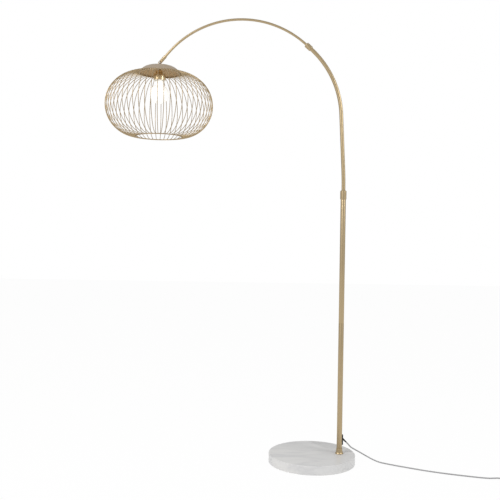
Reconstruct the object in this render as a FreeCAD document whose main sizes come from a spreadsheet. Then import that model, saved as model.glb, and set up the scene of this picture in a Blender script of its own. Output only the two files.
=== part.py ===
import FreeCAD, Part
import math
import os

import Sketcher
from FreeCAD import Placement, Rotation, Vector

# An arched floor lamp with a round wire cage for a shade. A marble disc carries a straight two-piece
# pole near its edge. A bent tube turns in the ferrule on the pole's top, a thinner bent tube carries on
# from a collar, and the shade hangs from a small hinge at its tip, above the other side of the disc.
# The origin is on the floor under the middle of the disc, +Z is up, and the arm reaches towards -X.

SIZES = {
    # The disc, the felt under it, and the bolt that holds the pole.
    "base_radius": 180.0,
    "base_thickness": 36.0,
    "base_edge": 3.0,
    "felt_thickness": 2.0,
    "felt_inset": 8.0,
    "pole_inset": 65.0,
    "bolt_radius": 5.0,
    "bolt_hole_gap": 0.75,
    "bolt_head_radius": 9.2,
    "bolt_head_height": 6.4,
    "washer_radius": 20.0,
    "washer_thickness": 2.5,
    "recess_radius": 24.0,
    "recess_depth": 13.0,
    "socket_length": 26.0,
    # The pole, the cone round its foot, and the sleeve inside its joint.
    "pole_radius": 11.0,
    "pole_wall": 1.2,
    "section_length": 546.0,
    "foot_radius": 17.0,
    "foot_lip": 2.0,
    "foot_height": 22.0,
    "foot_neck": 1.4,
    "sleeve_length": 60.0,
    "sleeve_wall": 2.0,
    "fit_gap": 0.05,
    # The cable outlet behind the pole.
    "outlet_height": 95.0,
    "outlet_length": 44.0,
    "outlet_width": 12.0,
    "outlet_depth": 4.5,
    "outlet_corner": 5.5,
    "outlet_bearing": 20.0,
    "outlet_neck": 4.5,
    "cord_radius": 2.75,
    "cord_rise": 3.0,
    "cord_drop": 43.0,
    "relief_length": 20.0,
    "relief_radius": 4.4,
    "relief_lip": 0.5,
    "lead_radius": 2.0,
    # The ferrule on the pole's top and the bush that the arm turns in.
    "ferrule_radius": 13.0,
    "ferrule_length": 37.0,
    "ferrule_lip": 7.0,
    "ferrule_round": 3.0,
    "ferrule_edge": 1.0,
    "turning_gap": 0.08,
    "tail_depth": 60.0,
    "bush_floor": 3.0,
    # The bent arm.
    "thick_radius": 8.0,
    "thick_wall": 1.2,
    "tail_rise": 8.0,
    "lean_radius": 1500.0,
    "lean_angle": 3.0,
    "lean_run": 230.0,
    "thick_bend": 386.0,
    "thick_turn": 45.3,
    "collar_radius": 11.0,
    "collar_half": 14.0,
    "collar_round": 2.0,
    "thin_radius": 5.0,
    "thin_wall": 1.0,
    "thin_bend": 401.0,
    "thin_turn": 90.5,
    "tip_run": 60.7,
    # The fork on the tip and the hinge that the shade hangs from.
    "fork_radius": 6.75,
    "fork_length": 36.0,
    "fork_slot": 4.4,
    "fork_slot_depth": 7.5,
    "pin_radius": 2.0,
    "pin_head_radius": 3.4,
    "pin_head": 1.4,
    "cheek_reach": 5.6,
    "tongue_thickness": 4.0,
    "tongue_radius": 5.0,
    "hinge_rise": 10.5,
    "seat_radius": 9.5,
    "seat_thickness": 2.2,
    # The dome and the wire cage.
    "dome_wall": 1.2,
    "crown_radius": 260.0,
    "crown_start": 2.2,
    "crown_turn": 10.0,
    "shoulder_radius": 61.0,
    "shoulder_turn": 59.5,
    "hoop_wire": 4.0,
    "hoop_inset": 3.12,
    "hoop_below": 1.23,
    "weld_gap": 0.1,
    "cage_wire": 2.3,
    "cage_shoulder": 138.0,
    "cage_knee": 54.5,
    "cage_belly": 129.5,
    "cage_turn": 178.2,
    # The lampholder under the dome.
    "nipple_radius": 5.0,
    "nipple_bore": 3.0,
    "nipple_end": 28.0,
    "nut_radius": 9.0,
    "nut_height": 5.0,
    "holder_drop": 24.0,
    "holder_neck_radius": 17.0,
    "holder_neck": 8.0,
    "holder_shoulder": 7.0,
    "holder_radius": 25.0,
    "holder_skirt": 24.0,
    "holder_wall": 1.0,
    "insert_length": 31.0,
    "insert_rim": 6.0,
    "insert_floor": 4.0,
    "contact_radius": 4.5,
    "contact_height": 2.0,
    # The globe bulb and its screw cap.
    "cap_radius": 13.2,
    "cap_wall": 0.4,
    "cap_length": 23.0,
    "cap_shoulder": 4.0,
    "cap_gap": 0.2,
    "button_contact": 2.5,
    "globe_radius": 40.0,
    "globe_wall": 1.0,
    "globe_drop": 57.0,
    "globe_turn": 62.5,
    "globe_neck_top": 49.0,
    # The foot switch in the cord.
    "switch_x": 775.0,
    "switch_y": -200.0,
    "switch_bearing": -17.0,
    "switch_length": 84.0,
    "switch_width": 40.0,
    "switch_corner": 14.0,
    "switch_split": 13.0,
    "switch_height": 21.0,
    "switch_wall": 2.0,
    "switch_edge": 2.5,
    "gland_radius": 4.5,
    "gland_length": 6.0,
    "gland_height": 8.0,
    "button_radius": 12.0,
    "button_gap": 0.3,
    "button_rise": 3.6,
    "button_travel": 2.5,
    "button_flange": 2.0,
    "block_length": 20.0,
    "block_width": 16.0,
    "block_corner": 1.0,
    # The put-away coil and the plug.
    "coil_x": 872.0,
    "coil_y": -188.0,
    "coil_radius": 31.5,
    "coil_width": 17.5,
    "coil_height": 11.0,
    "coil_corner": 4.0,
    "plug_x": 836.0,
    "plug_y": -142.0,
    "plug_bearing": 170.0,
    "plug_relief": 20.0,
    "plug_length": 36.0,
    "plug_width": 35.0,
    "plug_tail": 15.0,
    "plug_waist": 14.0,
    "plug_thickness": 13.6,
    "plug_edge": 3.0,
    "prong_radius": 2.0,
    "prong_length": 19.0,
    "prong_depth": 10.0,
    "prong_spacing": 18.6,
}
WIRES = 56  # in the cage
RIGHT_ANGLE = 90.0

# The cord's route from its outlet to the foot switch, from the switch to its coil, and from the coil to
# the plug. Each end that isn't here is worked out from what the cord joins.
LEAD_ROUTE = [
    (153.62, 14.06, 74.13),
    (165, 17.4, 60),
    (182, 22, 50),
    (207, 24.5, 36),
    (232, 22, 22.5),
    (256, 15.5, 11),
    (280, 5, 3.5),
    (306, -12, 2.75),
    (345, -36, 2.75),
    (392, -62, 2.75),
    (446, -91, 2.75),
    (505, -117, 2.75),
    (566, -139, 2.75),
    (628, -158, 2.75),
    (668, -169.2, 2.75),
    (692, -175.6, 4),
    (715.71, -181.88, 8),
]
TAIL_ROUTE = [(832.38, -217.54, 8), (848, -221.4, 4.9), (864.2, -224.7, 2.9)]
PLUG_ROUTE = [(878.5, -151.1, 5.5), (864, -147.6, 6.3), (849.79, -144.43, 6.8)]


class Size:
    """A size of the sheet, or one worked out from such sizes: its number and its formula."""

    def __init__(self, number, formula):
        self.number = number
        self.formula = formula

    def __add__(self, other):
        return joined(self, "+", other, self.number + size(other).number)

    def __sub__(self, other):
        return joined(self, "-", other, self.number - size(other).number)

    def __mul__(self, other):
        return joined(self, "*", other, self.number * size(other).number)

    def __truediv__(self, other):
        return joined(self, "/", other, self.number / size(other).number)

    def __radd__(self, other):
        return size(other) + self

    def __rsub__(self, other):
        return size(other) - self

    def __rmul__(self, other):
        return size(other) * self

    def __neg__(self):
        return size(0) - self

    def __float__(self):
        return float(self.number)


def size(value):
    """A plain number as a Size."""
    return value if isinstance(value, Size) else Size(value, f"{value:g}")


def joined(left, sign, right, number):
    """The Size that a sum, difference, product or share of two others makes."""
    return Size(number, f"({size(left).formula} {sign} {size(right).formula})")


def sine(angle):
    return Size(math.sin(math.radians(float(angle))), f"sin({size(angle).formula} * 1 deg)")


def cosine(angle):
    return Size(math.cos(math.radians(float(angle))), f"cos({size(angle).formula} * 1 deg)")


class Sheet:
    """The spreadsheet of driving sizes, each of them read as sheet.name."""

    def __init__(self, doc, sizes):
        cells = doc.addObject("Spreadsheet::Sheet", "Sizes")
        for row, (name, number) in enumerate(sizes.items(), 1):
            cells.set(f"A{row}", name)
            cells.set(f"B{row}", str(number))
            cells.setAlias(f"B{row}", name)
            setattr(self, name, Size(number, f"Sizes.{name}"))


doc = FreeCAD.newDocument("floor_lamp")
s = Sheet(doc, SIZES)
doc.recompute()
nodes = {}


# Ways to make and place an object of the document with its sizes bound to the sheet.


def bind(thing, **sizes):
    """Gives each named property its number, and the formula that it follows."""
    for name, value in sizes.items():
        setattr(thing, name, size(value).number)
        thing.setExpression(name, size(value).formula)
    return thing


def place(thing, x=0, y=0, z=0, axis=Vector(0, 0, 1), angle=0):
    """Moves an object to a point, turned about an axis, with both bound to the sheet."""
    spot = Vector(float(x), float(y), float(z))
    thing.Placement = Placement(spot, Rotation(axis, float(angle)))
    for part, value in (("Base.x", x), ("Base.y", y), ("Base.z", z), ("Rotation.Angle", angle)):
        thing.setExpression(f"Placement.{part}", size(value).formula)
    return thing


def cylinder(radius, height, **where):
    return place(bind(doc.addObject("Part::Cylinder", "cylinder"), Radius=radius, Height=height), **where)


def cone(low, high, height, **where):
    made = bind(doc.addObject("Part::Cone", "cone"), Radius1=low, Radius2=high, Height=height)
    return place(made, **where)


def hexagon(radius, height, **where):
    made = doc.addObject("Part::Prism", "hexagon")
    made.Polygon = 6
    return place(bind(made, Circumradius=radius, Height=height), **where)


def block(length, width, height, **where):
    made = bind(doc.addObject("Part::Box", "block"), Length=length, Width=width, Height=height)
    return place(made, **where)


def hoop(radius, wire, **where):
    return place(bind(doc.addObject("Part::Torus", "hoop"), Radius1=radius, Radius2=wire / 2), **where)


def fused(*pieces):
    made = doc.addObject("Part::MultiFuse", "fused")
    made.Shapes = list(pieces)
    return made


def cut(piece, *tools):
    made = doc.addObject("Part::Cut", "cut")
    made.Base = piece
    made.Tool = fused(*tools) if len(tools) > 1 else tools[0]
    return made


def common(piece, other):
    made = doc.addObject("Part::Common", "common")
    made.Base = piece
    made.Tool = other
    return made


def sub_part(name, thing):
    """Names an object as one piece of the lamp, which goes to a file of its own."""
    thing.Label = name
    nodes[name] = thing
    return thing


def new_body():
    return doc.addObject("PartDesign::Body", "body")


def sketch_on(body, role, offset=None):
    """An empty sketch on one of the body's own planes, raised off it where an offset is given."""
    plane = next(f for f in body.Origin.OriginFeatures if f.Role == role)
    made = body.newObject("Sketcher::SketchObject", "sketch")
    made.AttachmentSupport = (plane, [""])
    made.MapMode = "FlatFace"
    if offset is not None:
        made.AttachmentOffset = Placement(Vector(0, 0, float(offset)), Rotation())
        made.setExpression("AttachmentOffset.Base.z", size(offset).formula)
    return made


def hold(sketch, kind, *rest):
    """A constraint whose last value is a Size, bound to its formula."""
    *ends, value = rest
    index = sketch.addConstraint(Sketcher.Constraint(kind, *ends, size(value).number))
    sketch.setExpression(f"Constraints[{index}]", size(value).formula)


def circle(sketch, radius, x=0, y=0):
    spot = Vector(float(x), float(y), 0)
    index = sketch.addGeometry(Part.Circle(spot, Vector(0, 0, 1), float(radius)), False)
    hold(sketch, "Radius", index, radius)
    hold(sketch, "DistanceX", -1, 1, index, 3, x)
    hold(sketch, "DistanceY", -1, 1, index, 3, y)


def edge(sketch, start, end, bend=None):
    """A line, or an arc whose centre is left of the way from start to end where bend is positive and
    right of it where it is negative. Returns its number, and which of its ends is the start."""
    a = Vector(float(start[0]), float(start[1]), 0)
    b = Vector(float(end[0]), float(end[1]), 0)
    if bend is None:
        return sketch.addGeometry(Part.LineSegment(a, b), False), 1, 2
    radius = float(bend)
    side = Vector(-(b - a).y, (b - a).x, 0).normalize() * math.copysign(1, radius)
    middle = (a + b) * 0.5 + side * math.sqrt(max(radius**2 - (b - a).Length ** 2 / 4, 0))
    first, last = (a, b) if radius > 0 else (b, a)
    angles = [math.atan2(p.y - middle.y, p.x - middle.x) for p in (first, last)]
    whole = Part.Circle(middle, Vector(0, 0, 1), abs(radius))
    index = sketch.addGeometry(Part.ArcOfCircle(whole, *angles), False)
    hold(sketch, "Radius", index, bend if radius > 0 else -bend)
    return (index, 1, 2) if radius > 0 else (index, 2, 1)


def chain(sketch, corners, closed=True):
    """Edges through the corners, each (x, y) or (x, y, bend of the edge that starts there)."""
    pairs = list(zip(corners, corners[1:] + corners[:1] if closed else corners[1:]))
    edges = [edge(sketch, a, b, a[2] if len(a) > 2 else None) for a, b in pairs]
    links = zip(edges, edges[1:] + edges[:1] if closed else edges[1:])
    for (index, _, end), (following, start, _) in links:
        sketch.addConstraint(Sketcher.Constraint("Coincident", index, end, following, start))
    held = [(edges[i][0], edges[i][1], c) for i, c in enumerate(corners[: len(edges)])]
    if not closed:
        held.append((edges[-1][0], edges[-1][2], corners[-1]))
    for index, end, corner in held:
        hold(sketch, "DistanceX", -1, 1, index, end, corner[0])
        hold(sketch, "DistanceY", -1, 1, index, end, corner[1])


def turned(body, corners):
    """A solid turned about the body's Z axis from an outline of radii and heights."""
    outline = sketch_on(body, "XZ_Plane")
    chain(outline, corners)
    made = body.newObject("PartDesign::Revolution", "turned")
    made.Profile = outline
    made.ReferenceAxis = (outline, ["V_Axis"])
    made.Angle = 360
    return body


def padded(body, sketch, length, midplane=False):
    made = bind(body.newObject("PartDesign::Pad", "pad"), Length=length)
    made.Profile = sketch
    made.Midplane = midplane
    return made


def pocketed(body, sketch, length, midplane=False, reverse=False):
    made = bind(body.newObject("PartDesign::Pocket", "pocket"), Length=length)
    made.Profile = sketch
    made.Midplane = midplane
    made.Reversed = reverse
    return made


def piped(body, radius, wall, path):
    """A tube carried along a path that leaves the body's origin along +Z, in its XZ plane."""
    section = sketch_on(body, "XY_Plane")
    circle(section, radius)
    if wall is not None:
        circle(section, radius - wall)
    spine = sketch_on(body, "XZ_Plane")
    chain(spine, path, closed=False)
    made = body.newObject("PartDesign::AdditivePipe", "tube")
    made.Profile = section
    made.Spine = spine
    made.Transition = "Transformed"
    return body


def crosswise(radius, length, x=0, z=0):
    """A cylinder along Y with its middle on the lamp's own plane."""
    return cylinder(radius, length, x=x, y=-size(length) / 2, z=z, axis=Vector(1, 0, 0), angle=-90)


def lozenge(sketch, length, width, corner):
    """A rectangle about the origin with rounded corners."""
    x, y = length / 2, width / 2
    chain(
        sketch,
        [
            (x - corner, -y, corner),
            (x, corner - y),
            (x, y - corner, corner),
            (x - corner, y),
            (corner - x, y, corner),
            (-x, y - corner),
            (-x, corner - y, corner),
            (corner - x, -y),
        ],
    )


def flat_face(feature, up):
    """The name of the feature's highest or lowest face, after it is computed."""
    doc.recompute()
    heights = [f.CenterOfMass.z * up for f in feature.Shape.Faces]
    return f"Face{heights.index(max(heights)) + 1}"


def tube_along(points):
    """The cord's tube along straight runs, each pair of them joined by as large an arc as fits."""
    spots = [Vector(p) for p in points]
    edges = []
    radii = []
    start = spots[0]
    for before, corner, after in zip(spots, spots[1:], spots[2:]):
        back = (before - corner).normalize()
        on = (after - corner).normalize()
        half_turn = (math.pi - back.getAngle(on)) / 2
        reach = min((before - corner).Length, (after - corner).Length) * 0.45
        radii.append(round(reach / math.tan(half_turn), 1))
        middle = corner + (back + on).normalize() * (reach * math.tan(half_turn / 2))
        edges.append(Part.LineSegment(start, corner + back * reach).toShape())
        edges.append(Part.Arc(corner + back * reach, middle, corner + on * reach).toShape())
        start = corner + on * reach
    edges.append(Part.LineSegment(start, spots[-1]).toShape())
    route = doc.addObject("Part::Feature", "route")
    route.Shape = Part.Wire(edges)
    ring = bind(doc.addObject("Part::Circle", "ring"), Radius=s.cord_radius)
    ring.Placement = Placement(spots[0], Rotation(Vector(0, 0, 1), spots[1] - spots[0]))
    tube = doc.addObject("Part::Sweep", "tube")
    tube.Sections = [ring]
    tube.Spine = (route, [f"Edge{i + 1}" for i in range(len(edges))])
    tube.Solid = True
    doc.recompute()
    expected = route.Shape.Length * math.pi * float(s.cord_radius) ** 2
    print(f"cord {route.Shape.Length:.0f} mm, volume {tube.Shape.Volume / expected:.4f} of it, radii", radii)
    return tube


def around(middle, radius, turn):
    """A corner on a circle, turned from straight up towards +X."""
    return middle[0] + radius * sine(turn), middle[1] + radius * cosine(turn)


def walk(steps):
    """The corners of a path that sets out along +Z and turns towards -X, with the heading at its end.
    A step is a run's length, or a bend's radius and how far it turns."""
    x, z, heading, corners = size(0), size(0), size(0), []
    for step in steps:
        if isinstance(step, tuple):
            radius, turn = step
            corners.append((x, z, radius))
            ahead = heading + turn
            x = x + radius * (cosine(ahead) - cosine(heading))
            z = z + radius * (sine(ahead) - sine(heading))
            heading = ahead
        else:
            corners.append((x, z))
            x = x - step * sine(heading)
            z = z + step * cosine(heading)
    return corners + [(x, z)], heading


# Heights and places that several pieces share.
base_top = s.felt_thickness + s.base_thickness
pole_x = s.base_radius - s.pole_inset
seam = base_top + s.section_length
pole_top = seam + s.section_length
ferrule_top = pole_top + s.ferrule_lip
pole_bore = s.pole_radius - s.pole_wall
over_pole = s.pole_radius + s.fit_gap
tail_foot = pole_top - s.tail_depth
turning_bore = s.thick_radius + s.turning_gap
y_axis = Vector(0, 1, 0)


# The marble disc has rounded edges, a hole for the pole's bolt, and a recess below for its head.
disc = new_body()
face = sketch_on(disc, "XY_Plane")
circle(face, s.base_radius)
slab = padded(disc, face, s.base_thickness)
rounding = bind(disc.newObject("PartDesign::Fillet", "rounding"), Radius=s.base_edge)
rounding.Base = (slab, ["Edge1", "Edge3"])
hole = sketch_on(disc, "XY_Plane")
circle(hole, s.bolt_radius + s.bolt_hole_gap, pole_x)
pocketed(disc, hole, s.base_thickness, reverse=True)
recess = sketch_on(disc, "XY_Plane")
circle(recess, s.recess_radius, pole_x)
pocketed(disc, recess, s.recess_depth, reverse=True)
sub_part("base_disc", place(disc, z=s.felt_thickness))

# Felt under the disc, open under the recess.
felt = new_body()
face = sketch_on(felt, "XY_Plane")
circle(face, s.base_radius - s.felt_inset)
circle(face, s.recess_radius, pole_x)
padded(felt, face, s.felt_thickness)
sub_part("base_felt", felt)

# The bolt comes up through a broad washer and screws into a socket welded in the pole's foot.
washer_foot = s.felt_thickness + s.recess_depth - s.washer_thickness
washer = cylinder(s.washer_radius, s.washer_thickness, x=pole_x, z=washer_foot)
washer_hole = cylinder(s.bolt_radius + s.bolt_hole_gap, s.washer_thickness, x=pole_x, z=washer_foot)
sub_part("base_washer", cut(washer, washer_hole))
bolt_top = base_top + s.socket_length - s.fit_gap
head = hexagon(s.bolt_head_radius, s.bolt_head_height, x=pole_x, z=washer_foot - s.bolt_head_height)
shank = cylinder(s.bolt_radius, bolt_top - washer_foot, x=pole_x, z=washer_foot)
sub_part("base_bolt", fused(head, shank))
plug = cylinder(pole_bore - s.fit_gap, s.socket_length, x=pole_x, z=base_top)
plug_hole = cylinder(s.bolt_radius + s.fit_gap, s.socket_length, x=pole_x, z=base_top)
sub_part("pole_socket", cut(plug, plug_hole))

# A spun cone hides the joint between the pole and the marble.
foot = turned(
    new_body(),
    [
        (over_pole, 0),
        (s.foot_radius, 0),
        (s.foot_radius, s.foot_lip),
        (over_pole + s.foot_neck, s.foot_height),
        (over_pole, s.foot_height),
    ],
)
sub_part("pole_foot", place(foot, x=pole_x, z=base_top))

# Two lengths of steel tube make the pole. The lower one is drilled for the cord.
cord_height = s.outlet_height + s.cord_rise
bearing = math.radians(float(s.outlet_bearing))
outward = Vector(math.cos(bearing), math.sin(bearing), 0)
across = Vector(-outward.y, outward.x, 0)
lower = cylinder(s.pole_radius, s.section_length, x=pole_x, z=base_top)
lower_bore = cylinder(pole_bore, s.section_length, x=pole_x, z=base_top)
drilling = cylinder(s.outlet_neck, s.foot_radius, x=pole_x, z=cord_height, axis=across, angle=90)
sub_part("lower_pole", cut(lower, lower_bore, drilling))
upper = cylinder(s.pole_radius, s.section_length, x=pole_x, z=seam)
upper_bore = cylinder(pole_bore, s.section_length, x=pole_x, z=seam)
sub_part("upper_pole", cut(upper, upper_bore))
sleeve_foot = seam - s.sleeve_length / 2
sleeve = cylinder(pole_bore - s.fit_gap, s.sleeve_length, x=pole_x, z=sleeve_foot)
sleeve_bore = cylinder(pole_bore - s.sleeve_wall, s.sleeve_length, x=pole_x, z=sleeve_foot)
sub_part("pole_sleeve", cut(sleeve, sleeve_bore))

# The outlet is an oblong plastic plate, curved to lie on the pole, with a neck through its wall.
outlet = new_body()
ring = sketch_on(outlet, "XY_Plane")
circle(ring, s.pole_radius + s.outlet_depth)
circle(ring, s.pole_radius)
padded(outlet, ring, s.outlet_length, midplane=True)
spare = s.outlet_length
window = sketch_on(outlet, "YZ_Plane")
chain(window, [(-spare, -spare), (spare, -spare), (spare, spare), (-spare, spare)])
lozenge(window, s.outlet_width, s.outlet_length, s.outlet_corner)
pocketed(outlet, window, spare * 2, midplane=True)
back = sketch_on(outlet, "XZ_Plane")
chain(back, [(-spare, -spare), (0, -spare), (0, spare), (-spare, spare)])
pocketed(outlet, back, spare * 2, midplane=True)
neck = sketch_on(outlet, "YZ_Plane", pole_bore)
circle(neck, s.outlet_neck - s.fit_gap, 0, s.cord_rise)
padded(outlet, neck, s.pole_wall + s.outlet_depth / 2)
sub_part("cable_outlet", place(outlet, x=pole_x, z=s.outlet_height, angle=s.outlet_bearing))

# The cord's tapered relief leaves the plate on a slant.
plate_radius = s.pole_radius + s.outlet_depth
slant = s.cord_drop + RIGHT_ANGLE
buried = s.outlet_depth * 3
relief_spot = {
    "x": pole_x + outward.x * (plate_radius - buried * cosine(s.cord_drop)),
    "y": outward.y * (plate_radius - buried * cosine(s.cord_drop)),
    "z": cord_height + buried * sine(s.cord_drop),
}
relief = cone(
    s.relief_radius,
    s.cord_radius + s.relief_lip,
    s.relief_length + buried,
    axis=across,
    angle=slant,
    **relief_spot,
)
outlet_foot = s.outlet_height - s.outlet_length / 2
inside = cylinder(plate_radius + s.fit_gap, s.outlet_length, x=pole_x, z=outlet_foot)
sub_part("cord_relief", cut(relief, inside))

# The ferrule caps the pole. Its lip and the bush below it hold the arm's tail, which turns in them.
ferrule = turned(
    new_body(),
    [
        (over_pole, 0),
        (s.ferrule_radius - s.ferrule_edge, 0, s.ferrule_edge),
        (s.ferrule_radius, s.ferrule_edge),
        (s.ferrule_radius, s.ferrule_length - s.ferrule_round, s.ferrule_round),
        (s.ferrule_radius - s.ferrule_round, s.ferrule_length),
        (turning_bore, s.ferrule_length),
        (turning_bore, s.ferrule_length - s.ferrule_lip),
        (over_pole, s.ferrule_length - s.ferrule_lip),
    ],
)
sub_part("pole_ferrule", place(ferrule, x=pole_x, z=ferrule_top - s.ferrule_length))
bush = turned(
    new_body(),
    [
        (s.thick_radius - s.thick_wall * 2, -s.bush_floor),
        (pole_bore - s.fit_gap, -s.bush_floor),
        (pole_bore - s.fit_gap, s.tail_depth),
        (turning_bore, s.tail_depth),
        (turning_bore, -s.turning_gap),
        (s.thick_radius - s.thick_wall * 2, -s.turning_gap),
    ],
)
sub_part("swivel_bush", place(bush, x=pole_x, z=tail_foot))

# The thick tube of the arm: a straight tail, a slight lean, then the bend up to the collar.
tail_run = s.tail_depth + s.ferrule_lip + s.tail_rise
thick_path, collar_heading = walk(
    [
        tail_run,
        (s.lean_radius, s.lean_angle),
        s.lean_run,
        (s.thick_bend, s.thick_turn),
        s.collar_half,
    ]
)
thick = piped(new_body(), s.thick_radius, s.thick_wall, thick_path)
sub_part("lower_arm_tube", place(thick, x=pole_x, z=tail_foot))

# The collar slips over both tubes where the thick one ends.
collar_x = pole_x + thick_path[-1][0]
collar_z = tail_foot + thick_path[-1][1]
over_thick = s.thick_radius + s.fit_gap
over_thin = s.thin_radius + s.fit_gap
collar = turned(
    new_body(),
    [
        (over_thick, -s.collar_half),
        (s.collar_radius - s.collar_round, -s.collar_half, s.collar_round),
        (s.collar_radius, s.collar_round - s.collar_half),
        (s.collar_radius, s.collar_half - s.collar_round, s.collar_round),
        (s.collar_radius - s.collar_round, s.collar_half),
        (over_thin, s.collar_half),
        (over_thin, 0),
        (over_thick, 0),
    ],
)
sub_part("arm_collar", place(collar, x=collar_x, z=collar_z, axis=y_axis, angle=-collar_heading))

# The thin tube carries the bend over the top and ends in a straight run at the hinge.
slot_floor = s.fork_slot_depth
thin_path, tip_turn = walk([s.collar_half, (s.thin_bend, s.thin_turn), s.tip_run - slot_floor])
thin = piped(new_body(), s.thin_radius, s.thin_wall, thin_path)
sub_part("upper_arm_tube", place(thin, x=collar_x, z=collar_z, axis=y_axis, angle=-collar_heading))
tip_heading = collar_heading + tip_turn
tip_x, tip_z = thin_path[-1]
tube_x = collar_x + tip_x * cosine(collar_heading) - tip_z * sine(collar_heading)
tube_z = collar_z + tip_x * sine(collar_heading) + tip_z * cosine(collar_heading)
hinge_x = tube_x - slot_floor * sine(tip_heading)
hinge_z = tube_z + slot_floor * cosine(tip_heading)

# The fork is a short sleeve on the tip, slotted and rounded at its end, with the hinge through its cheeks.
# It is drawn about the hinge, with the arm's tip towards +Z, and then turned into place.
rod = cylinder(s.fork_radius, s.fork_length + s.fork_radius, z=-s.fork_length)
fork_width = s.fork_radius * 2
web = block(fork_width, fork_width, s.fork_length, x=-s.fork_radius, y=-s.fork_radius, z=-s.fork_length)
nose = crosswise(s.fork_radius, s.fork_radius * 2)
slot = block(
    s.fork_radius * 2,
    s.fork_slot,
    s.fork_slot_depth + s.fork_radius,
    x=-s.fork_radius,
    y=-s.fork_slot / 2,
    z=-s.fork_slot_depth,
)
cheek_bores = [
    cylinder(over_thin, s.fork_length - s.fork_slot_depth, z=-s.fork_length),
    crosswise(s.pin_radius + s.fit_gap, s.fork_radius * 2),
    cut(
        crosswise(s.pin_head_radius + s.fit_gap, s.fork_radius * 2),
        crosswise(s.pin_head_radius * 2, s.cheek_reach * 2),
    ),
]
fork = cut(common(rod, fused(web, nose)), slot, *cheek_bores)
sub_part("tip_fork", place(fork, x=hinge_x, z=hinge_z, axis=y_axis, angle=-tip_heading))

# The hinge pin has a low round head at each end, sunk in the cheeks.
pin = crosswise(s.pin_radius, s.cheek_reach * 2, x=hinge_x, z=hinge_z)
heads = cut(
    crosswise(s.pin_head_radius, (s.cheek_reach + s.pin_head) * 2, x=hinge_x, z=hinge_z),
    crosswise(s.pin_head_radius * 2, s.cheek_reach * 2, x=hinge_x, z=hinge_z),
)
sub_part("hinge_pin", fused(pin, heads))

# The wires to the bulb run up the pole and through the whole arm.
lead_foot = tail_foot - s.bush_floor
pole_lead = cylinder(s.lead_radius, lead_foot - cord_height, x=pole_x, z=cord_height)
sub_part("pole_lead", pole_lead)
lead_path, _ = walk(
    [
        tail_run + s.bush_floor,
        (s.lean_radius, s.lean_angle),
        s.lean_run,
        (s.thick_bend, s.thick_turn),
        s.collar_half * 2,
        (s.thin_bend, s.thin_turn),
        s.tip_run - slot_floor,
    ]
)
arm_lead = piped(new_body(), s.lead_radius, None, lead_path)
sub_part("arm_lead", place(arm_lead, x=pole_x, z=lead_foot))

# The shade hangs from a tongue between the cheeks. Below its seat a hollow stem goes through the dome.
apex = hinge_z - s.hinge_rise
hung = {"x": hinge_x, "z": apex}
seat = cylinder(s.seat_radius, s.seat_thickness, **hung)
tongue = block(
    s.tongue_radius * 2,
    s.tongue_thickness,
    s.hinge_rise,
    x=hinge_x - s.tongue_radius,
    y=-s.tongue_thickness / 2,
    z=apex,
)
eye = crosswise(s.tongue_radius, s.tongue_thickness, x=hinge_x, z=hinge_z)
stem = cylinder(s.nipple_radius, s.nipple_end, x=hinge_x, z=apex - s.nipple_end)
stem_bore = cylinder(s.nipple_bore, s.nipple_end, x=hinge_x, z=apex - s.nipple_end)
eye_bore = crosswise(s.pin_radius + s.fit_gap, s.fork_radius * 2, x=hinge_x, z=hinge_z)
sub_part("shade_knuckle", cut(fused(seat, tongue, eye, stem), stem_bore, eye_bore))
over_stem = s.nipple_radius + s.fit_gap
nut_foot = apex - s.dome_wall - s.nut_height
nut = hexagon(s.nut_radius, s.nut_height, x=hinge_x, z=nut_foot)
nut_bore = cylinder(over_stem, s.nut_height, x=hinge_x, z=nut_foot)
sub_part("cap_nut", cut(nut, nut_bore))

# The dome is flat where it is clamped, then falls in a wide arc and a tighter one to its rim.
flat_edge = s.crown_radius * sine(s.crown_start)
crown_edge = s.crown_radius * sine(s.crown_turn)
crown_drop = s.crown_radius * (cosine(s.crown_start) - cosine(s.crown_turn))
rim = crown_edge + s.shoulder_radius * (sine(s.shoulder_turn) - sine(s.crown_turn))
rim_drop = crown_drop + s.shoulder_radius * (cosine(s.crown_turn) - cosine(s.shoulder_turn))
wall = s.dome_wall
shoulder_inside = s.shoulder_radius - wall
crown_inside = s.crown_radius - wall
dome = turned(
    new_body(),
    [
        (over_stem, 0),
        (flat_edge, 0, -s.crown_radius),
        (crown_edge, -crown_drop, -s.shoulder_radius),
        (rim, -rim_drop),
        (rim - wall * sine(s.shoulder_turn), -rim_drop - wall * cosine(s.shoulder_turn), shoulder_inside),
        (crown_edge - wall * sine(s.crown_turn), -crown_drop - wall * cosine(s.crown_turn), crown_inside),
        (flat_edge, -wall),
        (over_stem, -wall),
    ],
)
sub_part("shade_dome", place(dome, **hung))

# The cage is one bent wire many times over, from a hoop in the dome's rim round to a lower hoop. Its
# section is a square with the round wire's area, which keeps so many wires light.
top_hoop_radius = rim - s.hoop_inset
top_hoop_height = apex - rim_drop - s.hoop_below
cage_start = top_hoop_radius + s.hoop_wire / 2 + s.weld_gap
narrowing = s.cage_shoulder - s.cage_belly
shoulder_middle = (cage_start, -s.cage_shoulder)
belly_middle = (cage_start + narrowing * sine(s.cage_knee), narrowing * cosine(s.cage_knee) - s.cage_shoulder)
cage_end = around(belly_middle, s.cage_belly, s.cage_turn)
half_wire = s.cage_wire / 2
cage = new_body()
cage.AllowCompound = True
bend = sketch_on(cage, "XZ_Plane")
outer = (s.cage_shoulder + half_wire, s.cage_belly + half_wire)
inner = (s.cage_shoulder - half_wire, s.cage_belly - half_wire)
chain(
    bend,
    [
        (*around(shoulder_middle, outer[0], size(0)), -outer[0]),
        (*around(shoulder_middle, outer[0], s.cage_knee), -outer[1]),
        around(belly_middle, outer[1], s.cage_turn),
        (*around(belly_middle, inner[1], s.cage_turn), inner[1]),
        (*around(shoulder_middle, inner[0], s.cage_knee), inner[0]),
        around(shoulder_middle, inner[0], size(0)),
    ],
)
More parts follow.
